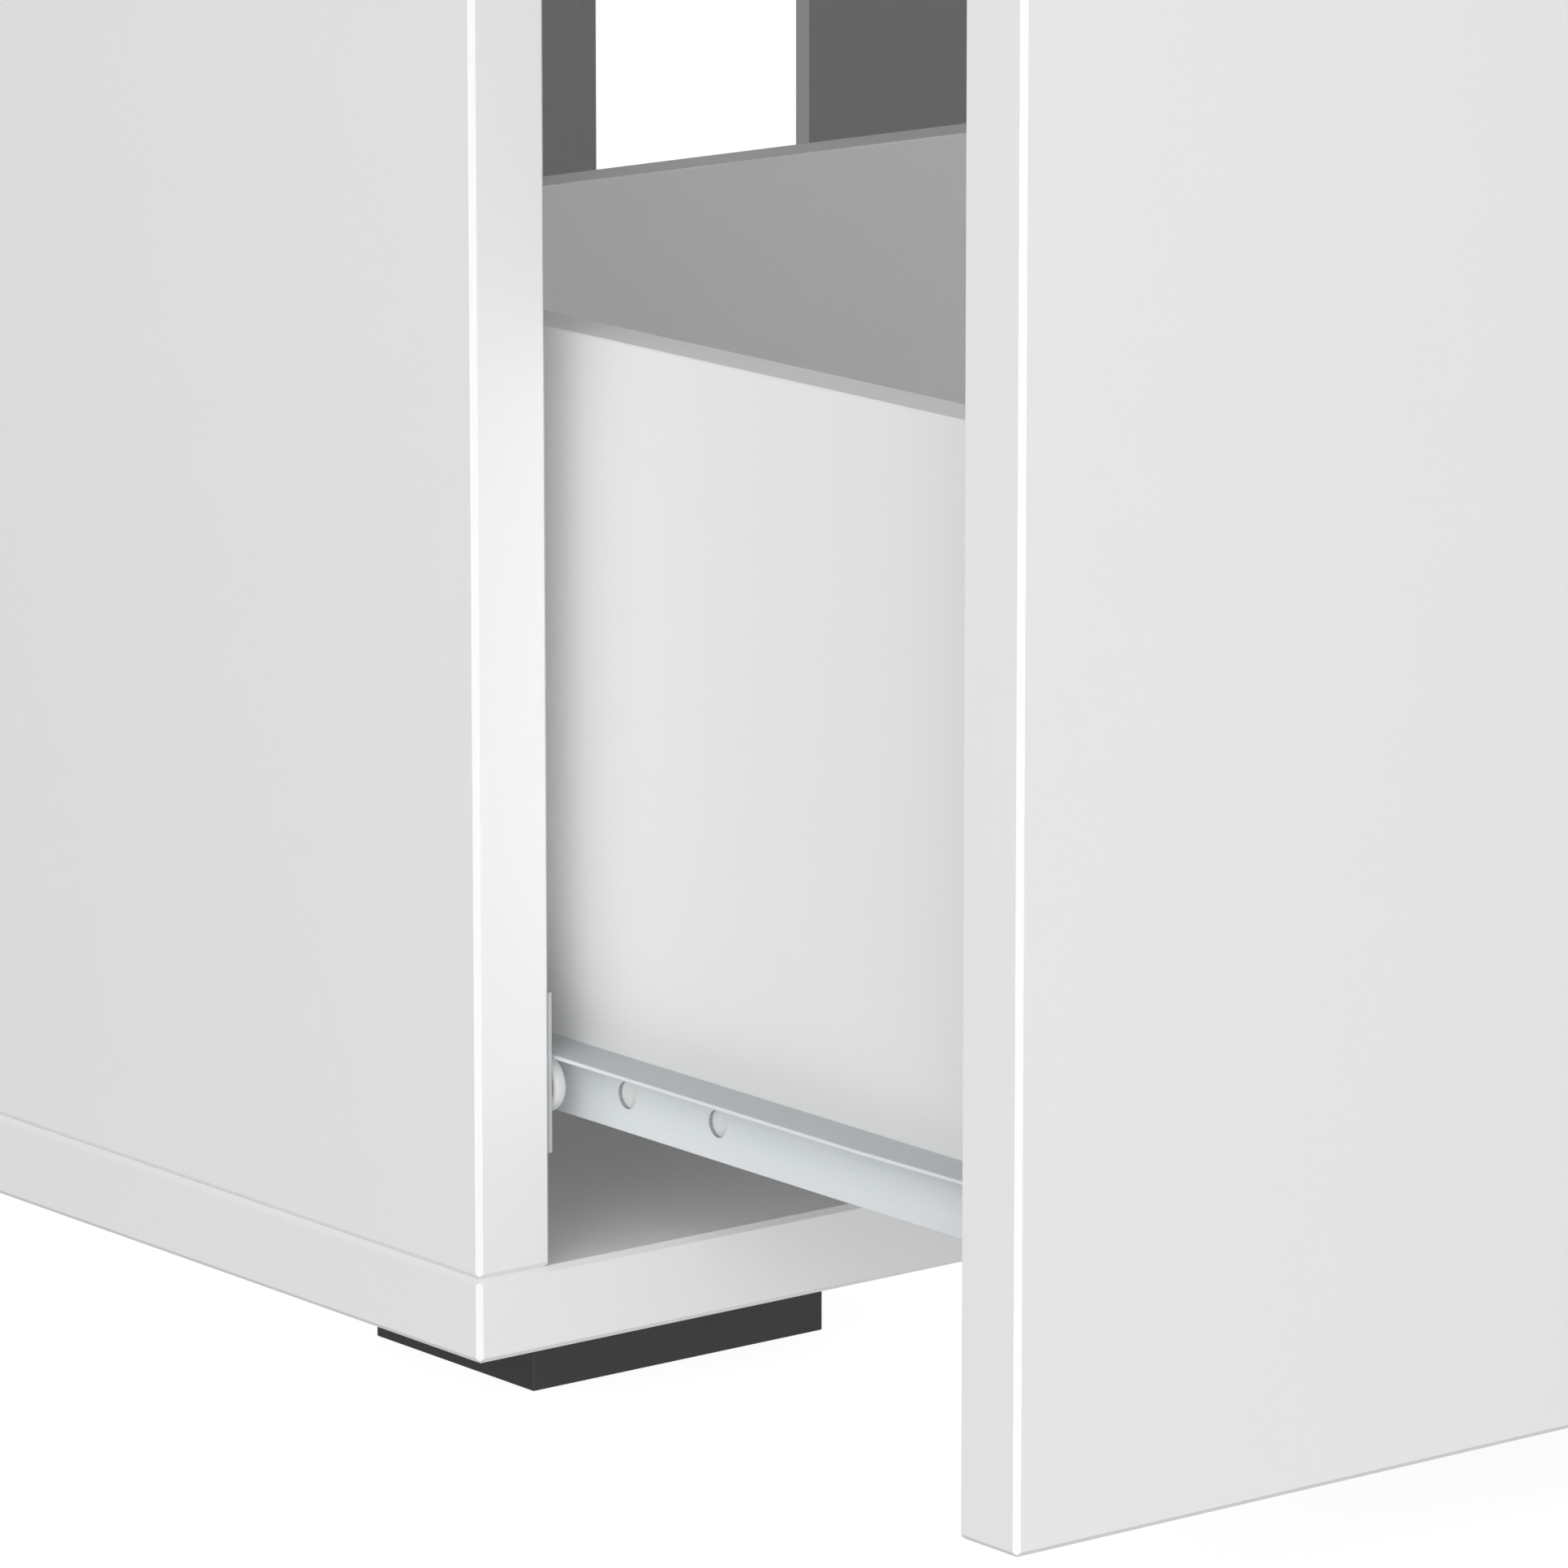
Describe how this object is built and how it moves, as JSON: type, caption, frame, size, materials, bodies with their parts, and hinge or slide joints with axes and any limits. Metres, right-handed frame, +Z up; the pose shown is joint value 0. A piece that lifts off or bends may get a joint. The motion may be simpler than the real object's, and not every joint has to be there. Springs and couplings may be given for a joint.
{
  "type": "under-desk drawer unit",
  "caption": "Low white under-desk unit with one deep overlay-front drawer on roller slides, black block feet, a bar handle and a cable cut-out in the back.",
  "frame": {"origin": "on the floor, in the middle of the footprint of the carcass with its drawer part-open and its handle", "axes": "+X to the right as seen from the front, +Y to the back, +Z up; the drawer opens along -Y"},
  "size_m": [0.5, 0.615, 0.45],
  "materials": {
    "white_board": "smooth satin white melamine on particle board",
    "white_drawer_board": "satin white melamine on 12 mm particle board",
    "white_thin_board": "satin white laminate on thin fibreboard",
    "foot_plastic": "matt black moulded plastic",
    "rail_steel": "light cool grey epoxy coating on rolled steel",
    "axle_steel": "zinc-plated riveted steel",
    "roller_nylon": "satin white nylon",
    "dowel_wood": "bare beech",
    "cam_zinc": "die-cast zinc",
    "screw_steel": "bright zinc-plated steel",
    "buffer_rubber": "soft translucent grey",
    "handle_metal": "matt black powder coat"
  },
  "bodies": {
    "carcass": {"bottom_panel": "white_board", "top_panel": "white_board", "side_panel_left": "white_board", "side_panel_right": "white_board", "back_panel": "white_thin_board", "foot_front_left": "foot_plastic", "foot_front_right": "foot_plastic", "foot_rear_left": "foot_plastic", "foot_rear_right": "foot_plastic", "foot_screws": "screw_steel", "carcass_cam_locks": "cam_zinc", "carcass_cam_bolts": "screw_steel", "carcass_dowels": "dowel_wood", "cabinet_rail_left": "rail_steel", "cabinet_rail_right": "rail_steel", "cabinet_roller_axle_left": "axle_steel", "cabinet_roller_axle_right": "axle_steel", "cabinet_rail_screws": "screw_steel"},
    "drawer": {"drawer_front": "white_board", "drawer_side_left": "white_drawer_board", "drawer_side_right": "white_drawer_board", "drawer_back": "white_drawer_board", "drawer_bottom": "white_thin_board", "drawer_rail_left": "rail_steel", "drawer_rail_right": "rail_steel", "drawer_roller_axle_left": "axle_steel", "drawer_roller_axle_right": "axle_steel", "drawer_rail_screws": "screw_steel", "drawer_cam_locks": "cam_zinc", "drawer_cam_bolts": "screw_steel", "drawer_dowels": "dowel_wood", "drawer_back_screws": "screw_steel", "drawer_bottom_screws": "screw_steel", "front_buffers": "buffer_rubber", "handle": "handle_metal", "handle_screws": "screw_steel"},
    "cabinet_roller_left": {"cabinet_roller_left": "roller_nylon"},
    "cabinet_roller_right": {"cabinet_roller_right": "roller_nylon"},
    "drawer_roller_left": {"drawer_roller_left": "roller_nylon"},
    "drawer_roller_right": {"drawer_roller_right": "roller_nylon"}
  },
  "joints": [
    {"name": "drawer_slide", "type": "slide", "parent": "carcass", "child": "drawer", "axis": [0, -1, 0], "range_m": [-0.1623, 0.0857]},
    {"name": "cabinet_roller_left_spin", "type": "hinge", "parent": "carcass", "child": "cabinet_roller_left", "pos_m": [-0.2259, -0.0845, 0.08825], "axis": [1, 0, 0], "range_deg": [-1440, 760]},
    {"name": "cabinet_roller_right_spin", "type": "hinge", "parent": "carcass", "child": "cabinet_roller_right", "pos_m": [0.2259, -0.0845, 0.08825], "axis": [1, 0, 0], "range_deg": [-1440, 760]},
    {"name": "drawer_roller_left_spin", "type": "hinge", "parent": "drawer", "child": "drawer_roller_left", "pos_m": [-0.2248, 0.0782, 0.082], "axis": [1, 0, 0], "range_deg": [-1440, 760]},
    {"name": "drawer_roller_right_spin", "type": "hinge", "parent": "drawer", "child": "drawer_roller_right", "pos_m": [0.2248, 0.0782, 0.082], "axis": [1, 0, 0], "range_deg": [-1440, 760]}
  ],
  "couplings": [
    {"joint": "cabinet_roller_left_spin", "follows": "drawer_slide", "rad_per_m": 153.85},
    {"joint": "cabinet_roller_right_spin", "follows": "drawer_slide", "rad_per_m": 153.85},
    {"joint": "drawer_roller_left_spin", "follows": "drawer_slide", "rad_per_m": 153.85},
    {"joint": "drawer_roller_right_spin", "follows": "drawer_slide", "rad_per_m": 153.85}
  ]
}
